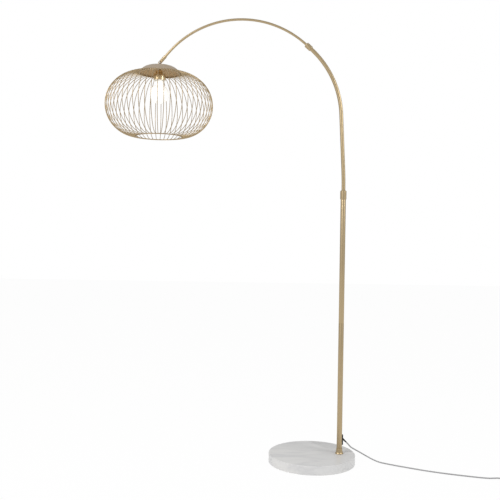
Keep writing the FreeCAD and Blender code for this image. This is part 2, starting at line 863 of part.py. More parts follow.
wire = padded(cage, bend, s.cage_wire, midplane=True)
wires = cage.newObject("PartDesign::PolarPattern", "wires")
wires.Originals = [wire]
wires.Axis = (next(f for f in cage.Origin.OriginFeatures if f.Role == "Z_Axis"), [""])
wires.Angle = 360
wires.Occurrences = int(WIRES)
cage.Tip = wires
sub_part("cage_wires", place(cage, x=hinge_x, z=top_hoop_height))
top_hoop = hoop(top_hoop_radius, s.hoop_wire, x=hinge_x, z=top_hoop_height)
sub_part("top_hoop", top_hoop)
bottom_radius = cage_end[0] - s.weld_gap - s.hoop_wire / 2
bottom_hoop = hoop(bottom_radius, s.hoop_wire, x=hinge_x, z=top_hoop_height + cage_end[1])
sub_part("bottom_hoop", bottom_hoop)

# The lampholder's metal shell is a stepped cup, with its insulating insert inside.
holder_top = apex - s.holder_drop
holder_length = s.holder_neck + s.holder_shoulder + s.holder_skirt
shoulder_foot = holder_length - s.holder_neck - s.holder_shoulder
neck_inside = s.holder_neck_radius - s.holder_wall
skirt_inside = s.holder_radius - s.holder_wall
shell = turned(
    new_body(),
    [
        (over_stem, holder_length),
        (over_stem, holder_length - s.holder_wall),
        (neck_inside, holder_length - s.holder_wall),
        (neck_inside, shoulder_foot + s.holder_shoulder),
        (skirt_inside, shoulder_foot),
        (skirt_inside, 0),
        (s.holder_radius, 0),
        (s.holder_radius, shoulder_foot),
        (s.holder_neck_radius, shoulder_foot + s.holder_shoulder),
        (s.holder_neck_radius, holder_length),
    ],
)
holder_foot = holder_top - holder_length
in_holder = {"x": hinge_x, "z": holder_foot}
sub_part("lampholder_shell", place(shell, **in_holder))
socket = s.cap_radius + s.cap_gap
insert = turned(
    new_body(),
    [
        (socket, 0),
        (skirt_inside - s.fit_gap, 0),
        (skirt_inside - s.fit_gap, s.insert_rim),
        (neck_inside - s.fit_gap, s.insert_rim),
        (neck_inside - s.fit_gap, s.insert_length),
        (0, s.insert_length),
        (0, s.insert_length - s.insert_floor),
        (socket, s.insert_length - s.insert_floor),
    ],
)
sub_part("lampholder_insert", place(insert, **in_holder))
contact_foot = holder_foot + s.insert_length - s.insert_floor - s.contact_height
sub_part("lampholder_contact", cylinder(s.contact_radius, s.contact_height, x=hinge_x, z=contact_foot))

# The bulb is a thin glass globe on a screw cap with a contact at its top.
tip_foot = contact_foot - s.button_contact
sub_part("bulb_contact", cylinder(s.contact_radius, s.button_contact, x=hinge_x, z=tip_foot))
cap_inside = s.cap_radius - s.cap_wall
cap = turned(
    new_body(),
    [
        (cap_inside, 0),
        (s.cap_radius, 0),
        (s.cap_radius, s.cap_length - s.cap_shoulder),
        (s.contact_radius, s.cap_length),
        (0, s.cap_length),
        (0, s.cap_length - s.cap_wall),
        (s.contact_radius, s.cap_length - s.cap_wall),
        (cap_inside, s.cap_length - s.cap_shoulder),
    ],
)
cap_foot = tip_foot - s.cap_length
sub_part("bulb_cap", place(cap, x=hinge_x, z=cap_foot))
globe_centre = holder_foot - s.globe_drop
glass_neck = s.globe_radius * cosine(s.globe_turn)
glass_top = cap_foot - globe_centre
glass_inside = s.globe_radius - s.globe_wall
glass = turned(
    new_body(),
    [
        (0, -s.globe_radius, s.globe_radius),
        (glass_neck, s.globe_radius * sine(s.globe_turn)),
        (glass_neck, s.globe_neck_top),
        (cap_inside - s.fit_gap, glass_top),
        (cap_inside - s.fit_gap, glass_top + s.cap_shoulder),
        (cap_inside - s.globe_wall, glass_top + s.cap_shoulder),
        (cap_inside - s.globe_wall, glass_top),
        (glass_neck - s.globe_wall, s.globe_neck_top),
        (glass_neck - s.globe_wall, s.globe_radius * sine(s.globe_turn)),
        (glass_inside * cosine(s.globe_turn), glass_inside * sine(s.globe_turn), -glass_inside),
        (0, -glass_inside),
    ],
)
sub_part("bulb_globe", place(glass, x=hinge_x, z=globe_centre))


# The foot switch is a two-part shell round a contact block, with one round button.
in_switch = {"x": s.switch_x, "y": s.switch_y, "angle": s.switch_bearing}
base = new_body()
plan = sketch_on(base, "XY_Plane")
lozenge(plan, s.switch_length, s.switch_width, s.switch_corner)
padded(base, plan, s.switch_split)
hollow = sketch_on(base, "XY_Plane", s.switch_wall)
inner_length = s.switch_length - s.switch_wall * 2
inner_width = s.switch_width - s.switch_wall * 2
lozenge(hollow, inner_length, inner_width, s.switch_corner - s.switch_wall)
pocketed(base, hollow, s.switch_split, reverse=True)
gland_reach = s.switch_length / 2 + s.gland_length
gland_root = s.switch_length / 2 - s.switch_wall / 2
lay = {"axis": y_axis, "angle": 90}
glands = [
    cylinder(s.gland_radius, gland_reach - gland_root, x=gland_root, z=s.gland_height, **lay),
    cylinder(s.gland_radius, gland_reach - gland_root, x=-gland_reach, z=s.gland_height, **lay),
]
sub_part("switch_base", place(fused(base, *glands), **in_switch))
cover = new_body()
plan = sketch_on(cover, "XY_Plane", s.switch_split)
lozenge(plan, s.switch_length, s.switch_width, s.switch_corner)
crown = padded(cover, plan, s.switch_height - s.switch_split)
rounding = bind(cover.newObject("PartDesign::Fillet", "rounding"), Radius=s.switch_edge)
rounding.Base = (crown, [flat_face(crown, 1)])
hollow = sketch_on(cover, "XY_Plane", s.switch_split)
lozenge(hollow, inner_length, inner_width, s.switch_corner - s.switch_wall)
pocketed(cover, hollow, s.switch_height - s.switch_split - s.switch_wall, reverse=True)
well = sketch_on(cover, "XY_Plane", s.switch_split)
circle(well, s.button_radius + s.button_gap)
pocketed(cover, well, s.switch_height, reverse=True)
sub_part("switch_cover", place(cover, **in_switch))
flange_top = s.switch_height - s.switch_wall - s.button_gap
button = turned(
    new_body(),
    [
        (0, flange_top - s.button_flange),
        (s.button_radius + s.button_flange, flange_top - s.button_flange),
        (s.button_radius + s.button_flange, flange_top),
        (s.button_radius, flange_top),
        (s.button_radius, s.switch_height + s.button_rise - s.button_flange, s.button_flange),
        (s.button_radius - s.button_flange, s.switch_height + s.button_rise),
        (0, s.switch_height + s.button_rise),
    ],
)
sub_part("switch_button", place(button, **in_switch))
block_top = flange_top - s.button_flange - s.button_travel - s.button_gap
contacts = new_body()
plan = sketch_on(contacts, "XY_Plane", s.switch_wall)
lozenge(plan, s.block_length, s.block_width, s.block_corner)
padded(contacts, plan, block_top - s.switch_wall)
sub_part("switch_block", place(contacts, **in_switch))

# The plug is flat, with two round prongs.
in_plug = {"x": s.plug_x, "y": s.plug_y, "z": s.plug_thickness / 2, "angle": s.plug_bearing}
shank_end = s.plug_relief + s.plug_length
half_tail = s.plug_tail / 2
half_front = s.plug_width / 2
handle = new_body()
plan = sketch_on(handle, "XY_Plane")
chain(
    plan,
    [
        (s.plug_relief, -half_tail),
        (s.plug_relief + s.plug_waist, -half_front),
        (shank_end, -half_front),
        (shank_end, half_front),
        (s.plug_relief + s.plug_waist, half_front),
        (s.plug_relief, half_tail),
    ],
)
handle_pad = padded(handle, plan, s.plug_thickness, midplane=True)
rounding = bind(handle.newObject("PartDesign::Fillet", "rounding"), Radius=s.plug_edge)
rounding.Base = (handle_pad, [flat_face(handle_pad, 1), flat_face(handle_pad, -1)])
boot = cone(s.cord_radius + s.relief_lip, s.relief_radius, s.plug_relief + s.plug_edge, **lay)
prongs = [
    cylinder(s.prong_radius, s.prong_length + s.prong_depth, x=shank_end - s.prong_depth, y=y, **lay)
    for y in (s.prong_spacing / 2, -s.prong_spacing / 2)
]
sub_part("plug_body", place(cut(fused(handle, boot), *prongs), **in_plug))
sub_part("plug_prongs", place(fused(*prongs), **in_plug))

# The rest of the cord is put away in a flat coil.
coil_inner = s.coil_radius - s.coil_width / 2
coil_outer = s.coil_radius + s.coil_width / 2
coil = turned(
    new_body(),
    [
        (coil_inner + s.coil_corner, 0),
        (coil_outer - s.coil_corner, 0, s.coil_corner),
        (coil_outer, s.coil_corner),
        (coil_outer, s.coil_height - s.coil_corner, s.coil_corner),
        (coil_outer - s.coil_corner, s.coil_height),
        (coil_inner + s.coil_corner, s.coil_height, s.coil_corner),
        (coil_inner, s.coil_height - s.coil_corner),
        (coil_inner, s.coil_corner, s.coil_corner),
    ],
)
sub_part("cord_coil", place(coil, x=s.coil_x, y=s.coil_y))

# The cord itself, as a tube along each stretch of its route.
slope = math.radians(float(s.cord_drop))
reach = float(plate_radius) + float(s.relief_length) * math.cos(slope)
exit_spot = outward * reach + Vector(float(pole_x), 0, float(cord_height))
exit_spot.z -= float(s.relief_length) * math.sin(slope)
ahead = Rotation(Vector(0, 0, 1), float(s.switch_bearing)).multVec(Vector(float(gland_reach), 0, 0))
middle = Vector(float(s.switch_x), float(s.switch_y), float(s.gland_height))
plug_spot = Vector(float(s.plug_x), float(s.plug_y), float(s.plug_thickness) / 2)
sub_part("lead_cord", tube_along([exit_spot, *LEAD_ROUTE, middle - ahead]))
sub_part("tail_cord", cut(tube_along([middle + ahead, *TAIL_ROUTE]), coil))
sub_part("plug_cord", cut(tube_along([*PLUG_ROUTE, plug_spot]), coil))


doc.recompute()
for thing in doc.Objects:
    if "Invalid" in thing.State or "Error" in thing.State:
        raise RuntimeError(f"{thing.Name} doesn't compute")
os.makedirs("parts", exist_ok=True)
for name, thing in nodes.items():
    if thing.Shape.isNull() or not thing.Shape.isValid():
        raise RuntimeError(f"{name} has no valid shape")
    thing.Shape.exportStep(f"parts/{name}.step")
    print(name, len(thing.Shape.Solids), "solids,", round(thing.Shape.Volume / 1000, 2), "cm3")
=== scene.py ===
import math

import bmesh
import bpy
import numpy as np
from mathutils import Matrix, Vector


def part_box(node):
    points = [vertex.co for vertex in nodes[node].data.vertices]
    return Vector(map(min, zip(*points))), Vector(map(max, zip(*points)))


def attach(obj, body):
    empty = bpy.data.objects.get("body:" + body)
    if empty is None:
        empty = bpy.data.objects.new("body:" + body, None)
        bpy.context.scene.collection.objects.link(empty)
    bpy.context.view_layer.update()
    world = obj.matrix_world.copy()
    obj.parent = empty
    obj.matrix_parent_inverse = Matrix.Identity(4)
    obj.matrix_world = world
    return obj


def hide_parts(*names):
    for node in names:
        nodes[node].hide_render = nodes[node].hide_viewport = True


# The lamp is seen square to its arm, through a long lens at desk height. The camera's place, its small
# turns and its lens were fitted to the outlines of the base, the pole, the arm and the shade.
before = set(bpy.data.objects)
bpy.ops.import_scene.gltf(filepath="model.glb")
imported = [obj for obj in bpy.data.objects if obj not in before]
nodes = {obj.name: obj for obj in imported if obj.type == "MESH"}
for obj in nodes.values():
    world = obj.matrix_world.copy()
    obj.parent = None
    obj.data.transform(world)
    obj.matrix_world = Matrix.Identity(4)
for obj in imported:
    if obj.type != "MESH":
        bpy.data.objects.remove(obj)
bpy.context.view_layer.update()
scene = bpy.context.scene
scene.view_settings.view_transform = "Standard"
FRAME_PIXELS = 500
FOCUS_PIXELS = 717.5
SENSOR_WIDTH = 36.0
EYE = (-0.2105, -2.9953, 0.9362)
YAW, PITCH, ROLL = 0.0199, 0.0174, 0.014
lens = bpy.data.cameras.new("photo_camera")
lens.sensor_fit = "HORIZONTAL"
lens.sensor_width = SENSOR_WIDTH
lens.lens = FOCUS_PIXELS / FRAME_PIXELS * SENSOR_WIDTH
camera = bpy.data.objects.new("photo_camera", lens)
level = Matrix.Rotation(math.pi / 2, 4, "X")
turn = Matrix.Rotation(YAW, 4, "Z") @ Matrix.Rotation(-PITCH, 4, "X") @ Matrix.Rotation(-ROLL, 4, "Y")
camera.matrix_world = Matrix.Translation(EYE) @ turn @ level
scene.collection.objects.link(camera)
scene.camera = camera


# A round slab of honed pale marble gives the lamp its weight. It is turned on a lathe, with its edges
# eased, and bored for the bolt that holds the pole.


class Socket:
    """A shader socket that can be reckoned with: each +, -, * or ** adds its Math node."""

    def __init__(self, wiring, link):
        self.wiring = wiring
        self.link = link

    def reckoned(self, operation, *terms):
        return self.wiring.node("Math", {"operation": operation}, dict(enumerate(terms)))

    def __add__(self, other):
        return self.reckoned("ADD", self, other)

    def __sub__(self, other):
        return self.reckoned("SUBTRACT", self, other)

    def __mul__(self, other):
        return self.reckoned("MULTIPLY", self, other)

    def __pow__(self, other):
        return self.reckoned("POWER", self, other)

    def __radd__(self, other):
        return self.reckoned("ADD", other, self)

    def __rsub__(self, other):
        return self.reckoned("SUBTRACT", other, self)

    def __rmul__(self, other):
        return self.reckoned("MULTIPLY", other, self)

    def __abs__(self):
        return self.reckoned("ABSOLUTE", self)

    def between(self, low, high):
        """0 below low and 1 above high, with a straight rise from one to the other."""
        return self.wiring.node("MapRange", {}, {0: self, 1: low, 2: high})


class Wiring:
    """The node tree of a material or a world."""

    def __init__(self, owner):
        owner.use_nodes = True
        self.tree = owner.node_tree

    def present(self, kind):
        """The node of this kind that the tree was made with."""
        return next(n for n in self.tree.nodes if n.type == kind)

    def node(self, kind, settings, sockets, out=0):
        """Adds a node: its settings, then the values or links of its sockets."""
        made = self.tree.nodes.new("ShaderNode" + kind)
        for name, value in settings.items():
            setattr(made, name, value)
        for key, value in sockets.items():
            self.feed(made.inputs[key], value)
        return Socket(self, made.outputs[out])

    def feed(self, socket, value):
        """Gives a socket its value or its link."""
        if isinstance(value, Socket):
            self.tree.links.new(value.link, socket)
        else:
            socket.default_value = value


class Finish(Wiring):
    """A material made of one Principled shader and the nodes that feed it."""

    def __init__(self, name, slot, **fixed):
        self.slot = slot
        self.material = bpy.data.materials.new(name)
        super().__init__(self.material)
        self.shader = self.present("BSDF_PRINCIPLED")
        for socket, value in fixed.items():
            self.feed(self.shader.inputs[socket.replace("_", " ")], value)
        self.place = self.node("TexCoord", {}, {}, "Object")

    def noise(self, scale, detail=2.0, stretch=(1, 1, 1)):
        """Noise from 0 to 1, with scale lumps to the metre on each axis, times its stretch."""
        place = self.node("Mapping", {}, {"Vector": self.place, "Scale": stretch})
        return self.node("TexNoise", {}, {"Vector": place, "Scale": scale, "Detail": detail})

    def mixed(self, share, first, second):
        """The first colour where share is 0 and the second where it is 1."""
        return self.node("Mix", {"data_type": "RGBA"}, {0: share, 6: first, 7: second}, 2)

    def colour(self, value):
        self.feed(self.shader.inputs["Base Color"], value)

    def rough(self, value):
        self.feed(self.shader.inputs["Roughness"], value)

    def raised(self, height, distance):
        """Bumps the surface by height, where 1 stands distance proud."""
        bump = self.node("Bump", {}, {"Height": height, "Distance": distance, "Strength": 1.0})
        self.feed(self.shader.inputs["Normal"], bump)


SCREEN_KNEE, SCREEN_SLOPE, SCREEN_LIFT, SCREEN_POWER = 0.04045, 12.92, 0.055, 2.4


def paint(red, green, blue):
    """A colour given as the 0 to 255 values that it has on a screen, as the shader's light values. The
    screen's curve is a straight line below its knee and a power above it."""
    share = np.array([red, green, blue]) / 255
    above = ((share + SCREEN_LIFT) / (1 + SCREEN_LIFT)) ** SCREEN_POWER
    return (*np.where(share <= SCREEN_KNEE, share / SCREEN_SLOPE, above), 1.0)


JOIN_WITHIN = 1e-6
NO_LENGTH = 1e-7
COPY_CREASE = 0.5


def copied(node, finish, body):
    """A smooth-shaded copy of a CAD node's mesh with its loose triangles joined, creased where the
    surface turns by more than an angle."""
    mesh = nodes[node].data.copy()
    work = bmesh.new()
    work.from_mesh(mesh)
    bmesh.ops.remove_doubles(work, verts=work.verts, dist=JOIN_WITHIN)
    bmesh.ops.dissolve_degenerate(work, edges=work.edges, dist=NO_LENGTH)
    work.to_mesh(mesh)
    work.free()
    mesh.shade_smooth()
    mesh.set_sharp_from_angle(angle=COPY_CREASE)
    mesh.materials.clear()
    return fitted(bpy.data.objects.new(node + "_shown", mesh), finish, body, node)


def fitted(piece, finish, body, *replaced):
    """Puts a finished piece in the scene with its material, on its body, in place of its CAD nodes."""
    scene.collection.objects.link(piece)
    piece.data.materials.append(finish.material)
    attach(piece, body)
    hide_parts(*replaced)
    return piece


def coated(finish, *names):
    """Gives CAD nodes that stay as they are their finish."""
    for name in names:
        for slot in nodes[name].material_slots:
            slot.material = finish.material


marble = Finish("honed_marble", "marble", IOR=1.5)
cloud = marble.noise(7.0, detail=4.0, stretch=(0.35, 1.6, 1.2))
wander = marble.noise(5.0, detail=6.0, stretch=(0.5, 2.4, 2.0))
vein = (1 - abs(wander - 0.5) * 9).between(0.0, 1.0) ** 3
grain = marble.noise(420.0, detail=3.0)
stone = marble.mixed(cloud.between(0.3, 0.7), paint(222, 221, 219), paint(210, 210, 210))
stone = marble.mixed(vein * 0.55, stone, paint(193, 193, 195))
marble.colour(marble.mixed((grain - 0.5) * 0.25 + 0.1, stone, paint(236, 235, 232)))
marble.rough(0.3 + grain * 0.12)
marble.raised(grain, distance=0.00004)
copied("base_disc", marble, "stand")


# Felt keeps the stone off the floor, and a bolt with a broad washer draws the pole down on to it from a
# recess below. A threaded steel socket inside the pole's foot takes the bolt.
felt = Finish("base_felt", "felt", Roughness=0.95, Sheen_Weight=0.3)
fuzz = felt.noise(900.0, detail=6.0)
felt.colour(felt.mixed(fuzz, paint(30, 30, 31), paint(66, 65, 64)))
felt.raised(fuzz, distance=0.0004)
coated(felt, "base_felt")
zinc = Finish("zinc_plate", "zinc_steel", Metallic=1.0)
spangle = zinc.noise(260.0, detail=3.0)
zinc.colour(zinc.mixed(spangle, paint(176, 178, 182), paint(205, 205, 203)))
zinc.rough(0.28 + spangle * 0.2)
coated(zinc, "base_washer", "base_bolt", "pole_socket", "pole_sleeve")


# Two lengths of steel tube, lacquered satin gold, butt over a hidden sleeve to make the pole. A spun
# cone at the foot covers its joint with the stone.


def rounded(corners, steps=6):
    """An outline through (across, along, rounding) corners. A rounding is an arc that touches both
    sides of its corner. The arc's middle lies on the sides' bisector, at rounding / sin(half the angle
    between them)."""
    line = [np.array([corners[0][:2]])]
    for before, here, after in zip(corners, corners[1:], corners[2:]):
        corner = np.array(here[:2])
        back = np.array(before[:2]) - corner
        on = np.array(after[:2]) - corner
        back /= np.linalg.norm(back)
        on /= np.linalg.norm(on)
        half = math.acos(np.clip(back @ on, -1, 1)) / 2
        if here[2] == 0:
            line.append(corner[None])
            continue
        middle = corner + (back + on) / np.linalg.norm(back + on) * here[2] / math.sin(half)
        share = np.linspace(0, 1, steps + 1)[:, None]
        spokes = corner + (back * (1 - share) + on * share) * here[2] / math.tan(half) - middle
        line.append(middle + spokes / np.linalg.norm(spokes, axis=1, keepdims=True) * here[2])
    line.append(np.array([corners[-1][:2]]))
    return np.concatenate(line)


def meshed(name, points, faces):
    """A smooth-shaded piece of faces between points. Points that fall together become one, and every
    face is turned outwards."""
    mesh = bpy.data.meshes.new(name)
    mesh.from_pydata(points.reshape(-1, 3), [], faces)
    work = bmesh.new()
    work.from_mesh(mesh)
    bmesh.ops.remove_doubles(work, verts=work.verts, dist=JOIN_WITHIN)
    bmesh.ops.recalc_face_normals(work, faces=work.faces)
    work.to_mesh(mesh)
    work.free()
    mesh.shade_smooth()
    return bpy.data.objects.new(name, mesh)


CREASE = 0.6


def surface(name, grid, ring=False):
    """A mesh of quads on a grid of points. Its columns always join up round the piece, and its rows do
    where it is a ring. It is creased where it turns by more than an angle."""
    rows, columns = grid.shape[:2]
    index = np.arange(rows * columns).reshape(rows, columns)
    across = np.roll(index, -1, axis=1)
    if ring:
        below, below_across = np.roll(index, -1, axis=0), np.roll(across, -1, axis=0)
        faces = np.stack([index, across, below_across, below], axis=-1).reshape(-1, 4)
    else:
        faces = np.stack([index[:-1], across[:-1], across[1:], index[1:]], axis=-1).reshape(-1, 4)
    piece = meshed(name, grid, faces)
    piece.data.set_sharp_from_angle(angle=CREASE)
    return piece


def lathed(name, outline, middle, along=(0, 0, 1), ring=False, around=72):
    """The outline turned about an axis through middle: each point stands across from the axis by its
    first number, times the cosine and sine of the angle, and lies along it by its second."""
    along = np.array(along, float)
    side = np.cross((0, 1, 0), along)
    up = np.cross(along, side)
    angle = np.linspace(0, 2 * math.pi, around, endpoint=False)
    spoke = np.cos(angle)[:, None] * side + np.sin(angle)[:, None] * up
    return surface(name, middle + outline[:, None, :1] * spoke + outline[:, None, 1:] * along, ring)


def centre(node):
    """The middle of a CAD node's box."""
    return np.array(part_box(node)).mean(axis=0)


gold = Finish("satin_gold", "gold_paint", Metallic=0.85)
flow = gold.noise(9.0, detail=3.0)
peel = gold.noise(700.0)
gold.colour(gold.mixed(flow, paint(180, 160, 125), paint(190, 170, 135)))
gold.rough(0.3 + flow * 0.1 + peel * 0.06)
gold.raised(peel, distance=0.00002)
POLE_RADIUS = 0.011
POLE_CLEARANCE = 0.00005
EASED = 0.0005
pole = centre("upper_pole") * (1, 1, 0)
for node in ("lower_pole", "upper_pole"):
    low, high = (corner[2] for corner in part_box(node))
    corners = [(0, low, 0), (POLE_RADIUS, low, EASED), (POLE_RADIUS, high, EASED), (0, high, 0)]
    tube = rounded(corners, steps=3)
    fitted(lathed(node + "_tube", tube, pole), gold, "stand", node)
FOOT_BORE = POLE_RADIUS + POLE_CLEARANCE
FOOT_RADIUS = 0.017
FOOT_HEIGHT = 0.022
FOOT = [
    (FOOT_BORE, 0, 0),
    (FOOT_RADIUS, 0, 0.0003),
    (FOOT_RADIUS, 0.002, 0.0008),
    (0.0143, 0.006, 0.006),
    (0.0129, 0.015, 0.02),
    (0.0123, FOOT_HEIGHT, 0.0004),
    (FOOT_BORE, FOOT_HEIGHT, 0),
    (FOOT_BORE, 0, 0),
]
cone = lathed("pole_foot_cone", rounded(FOOT), pole + (0, 0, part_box("pole_foot")[0][2]))
fitted(cone, gold, "stand", "pole_foot")


# The cord comes out behind the pole, through an oblong black plate with a grooved strain relief that
# points down and outwards.
black = Finish("moulded_black", "black_plastic", Roughness=0.42)
speck = black.noise(1500.0)
black.colour(black.mixed(speck, paint(24, 24, 25), paint(36, 36, 37)))
black.raised(speck, distance=0.00003)
copied("cable_outlet", black, "stand")
OUTLET_BEARING = math.radians(20)
RELIEF_DROP = math.radians(43)
RELIEF_LENGTH = 0.02
RELIEF_BURIED = 0.0025
RELIEF_OUT, RELIEF_HEIGHT = 0.0155, 0.098
RELIEF_RADIUS = 0.0044
RELIEF_TAPER = 0.055
GROOVE_PITCH, GROOVE_DEPTH = 0.004, 0.0007
outward = np.array([math.cos(OUTLET_BEARING), math.sin(OUTLET_BEARING), 0])
relief_line = outward * math.cos(RELIEF_DROP) - np.array([0, 0, math.sin(RELIEF_DROP)])
relief_root = pole + outward * RELIEF_OUT + (0, 0, RELIEF_HEIGHT)
reach = np.linspace(-RELIEF_BURIED, RELIEF_LENGTH, 90)
groove = np.where(reach > GROOVE_PITCH, 0.5 - 0.5 * np.cos((reach / GROOVE_PITCH - 1) * 2 * math.pi), 0)
taper = np.stack([RELIEF_RADIUS - reach * RELIEF_TAPER - groove * GROOVE_DEPTH, reach], axis=-1)
taper = np.concatenate([[(0, reach[0])], taper, [(0, reach[-1])]])
fitted(lathed("relief_boot", taper, relief_root, relief_line, around=40), black, "stand", "cord_relief")


# The cord is 1.8 m of round two-core flex in a silver-grey sheath. It sags over the stone's edge and
# lies out across the floor to a foot switch, and what is left is coiled and tied by its flat plug.
CORD_RADIUS = 0.00275
ROUTE_TO_SWITCH = [
    (0.14331, 0.0103, 0.08436),
    (0.15362, 0.01406, 0.07413),
    (0.165, 0.0174, 0.06),
    (0.182, 0.022, 0.05),
    (0.207, 0.0245, 0.036),
    (0.232, 0.022, 0.0225),
    (0.256, 0.0155, 0.011),
    (0.28, 0.005, 0.0035),
    (0.306, -0.012, 0.00275),
    (0.345, -0.036, 0.00275),
    (0.392, -0.062, 0.00275),
    (0.446, -0.091, 0.00275),
    (0.505, -0.117, 0.00275),
    (0.566, -0.139, 0.00275),
    (0.628, -0.158, 0.00275),
    (0.668, -0.1692, 0.00275),
    (0.692, -0.1756, 0.004),
    (0.71571, -0.18188, 0.008),
    (0.7291, -0.18597, 0.008),
]
ROUTE_TO_COIL = [(0.8209, -0.21403, 0.008), (0.83238, -0.21754, 0.008), (0.848, -0.2214, 0.0052)]
ROUTE_TO_PLUG = [(0.864, -0.1476, 0.0085), (0.84979, -0.14443, 0.0068), (0.836, -0.142, 0.0068)]
COIL_MIDDLE = np.array([0.872, -0.188, 0])
COIL_START = math.radians(-102)
COIL_TURNS = 5.506
COIL_WIDE, COIL_TIGHT = 0.0375, 0.0228
COIL_TOP_WIDE = 0.0372
COIL_LIFT = 0.00335


def corded(name, points):
    """A smooth line of order 3 that starts and ends on the route's outer points and is drawn towards
    each of the others, with the cord's round section along it."""
    line = bpy.data.curves.new(name, "CURVE")
    line.dimensions = "3D"
    line.bevel_depth = CORD_RADIUS
    line.bevel_resolution = 5
    line.resolution_u = 12
    line.use_fill_caps = True
    spline = line.splines.new("NURBS")
    spline.points.add(len(points) - 1)
    spline.points.foreach_set("co", np.c_[points, np.ones(len(points))].ravel())
    spline.order_u = 3
    spline.use_endpoint_u = True
    return bpy.data.objects.new(name, line)


sheath = Finish("grey_sheath", "cord_rubber", Roughness=0.5)
dust = sheath.noise(350.0, detail=4.0)
sheath.colour(sheath.mixed(dust, paint(150, 150, 152), paint(172, 172, 172)))
sheath.rough(0.42 + dust * 0.2)
sheath.raised(dust, distance=0.00003)
grey = Finish("moulded_grey", "grey_plastic", Roughness=0.42)
fleck = grey.noise(1500.0)
grey.colour(grey.mixed(fleck, paint(146, 146, 148), paint(160, 160, 160)))
grey.raised(fleck, distance=0.00003)
switch_shell = [copied(node, grey, "stand") for node in ("switch_base", "switch_cover")]
sleek = Finish("smooth_dark_grey", "button_plastic", Roughness=0.25)
wear = sleek.noise(60.0, detail=3.0)
sleek.colour(sleek.mixed(wear, paint(74, 74, 76), paint(84, 84, 85)))
switch_button = copied("switch_button", sleek, "switch_button")
coated(sleek, "switch_block")
lead = fitted(corded("lead_cord_line", ROUTE_TO_SWITCH), sheath, "stand", "lead_cord")

# In the coil the turns lie side by side, inwards along the floor and then outwards on top of those.
turned = np.linspace(0, COIL_TURNS, 100)
angle = COIL_START + turned * 2 * math.pi
coil_radius = np.interp(turned, [0, 2.55, 3.0, 5.4], [COIL_WIDE, COIL_TIGHT, COIL_TIGHT, COIL_TOP_WIDE])
coil_height = np.interp(turned, [2.6, 3.0], [COIL_LIFT, COIL_LIFT + CORD_RADIUS * 2])
coil_spokes = [coil_radius * np.cos(angle), coil_radius * np.sin(angle), coil_height]
coil = COIL_MIDDLE + np.stack(coil_spokes, axis=-1)
tail = corded("tail_cord_line", np.concatenate([ROUTE_TO_COIL, coil, ROUTE_TO_PLUG]))
fitted(tail, sheath, "stand", "tail_cord", "cord_coil", "plug_cord")
plug = copied("plug_body", grey, "stand")
brass = Finish("satin_brass", "brass", Metallic=1.0)
rub = brass.noise(40.0, detail=4.0, stretch=(1, 1, 0.1))
brass.colour(brass.mixed(rub, paint(224, 200, 156), paint(238, 216, 174)))
brass.rough(0.26 + rub * 0.12)
prongs = copied("plug_prongs", brass, "stand")

# A flat tie goes once round the coil's bundle of turns. Its loop starts half way up its inner side.
TIE_BEARING = math.radians(20)
TIE_INSIDE, TIE_OUTSIDE = 0.0193, 0.0409
TIE_LOW, TIE_HALF, TIE_HIGH = 0.0003, 0.0064, 0.0121
TIE_BEND = 0.0028
TIE_WIDTH, TIE_THICKNESS = 0.0044, 0.0006
TIE = [
    (TIE_INSIDE, TIE_HALF, 0),
    (TIE_INSIDE, TIE_LOW, TIE_BEND),
    (TIE_OUTSIDE, TIE_LOW, TIE_BEND),
    (TIE_OUTSIDE, TIE_HIGH, TIE_BEND),
    (TIE_INSIDE, TIE_HIGH, TIE_BEND),
    (TIE_INSIDE, TIE_HALF, 0),
]
loop = rounded(TIE)[1:]
spread = np.linspace(-TIE_WIDTH / 2, TIE_WIDTH / 2, 3)[:, None, None]
tie_out = np.array([math.cos(TIE_BEARING), math.sin(TIE_BEARING), 0])
tie_side = np.array([-tie_out[1], tie_out[0], 0])
band = COIL_MIDDLE + loop[:, :1] * tie_out + loop[:, 1:] * (0, 0, 1) + spread * tie_side
tie = fitted(surface("coil_tie", band), black, "stand")
thick = tie.modifiers.new("thickness", "SOLIDIFY")
thick.thickness = TIE_THICKNESS
thick.offset = 0


# A turned ferrule caps the pole. The arm's tail drops through it into a nylon bush, where it can turn.
FERRULE_BORE = 0.0082
FERRULE_RADIUS = 0.013
FERRULE_HEIGHT = 0.037
FERRULE = [
    (FERRULE_BORE, 0, 0),
    (0.012, 0, 0),
    (FERRULE_RADIUS, 0.001, 0.0006),
    (FERRULE_RADIUS, 0.034, 0.0026),
    (0.0106, FERRULE_HEIGHT, 0.0012),
    (FERRULE_BORE, FERRULE_HEIGHT, 0.0003),
    (FERRULE_BORE, 0, 0),
]
ferrule = lathed("ferrule", rounded(FERRULE), pole + (0, 0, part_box("pole_ferrule")[0][2]))
fitted(ferrule, gold, "stand", "pole_ferrule")
nylon = Finish("nylon", "nylon", Roughness=0.45, Subsurface_Weight=0.1)
milk = nylon.noise(80.0)
nylon.colour(nylon.mixed(milk, paint(226, 224, 216), paint(238, 237, 232)))
coated(nylon, "swivel_bush")


# The arm is two bent tubes joined by a collar: the thick one leans a little and bends over, and the
# thin one carries the bend across the top and down to the shade.
THICK_RADIUS = 0.008
THIN_RADIUS = 0.005
IN_COLLAR = 0.014
THICK_WAY = [(0.075, 0), (1.5, 3.0), (0.23, 0), (0.386, 45.3), (IN_COLLAR, 0)]
THIN_WAY = [(IN_COLLAR, 0), (0.401, 90.5), (0.0532, 0)]
TUBE_SIDES = 32


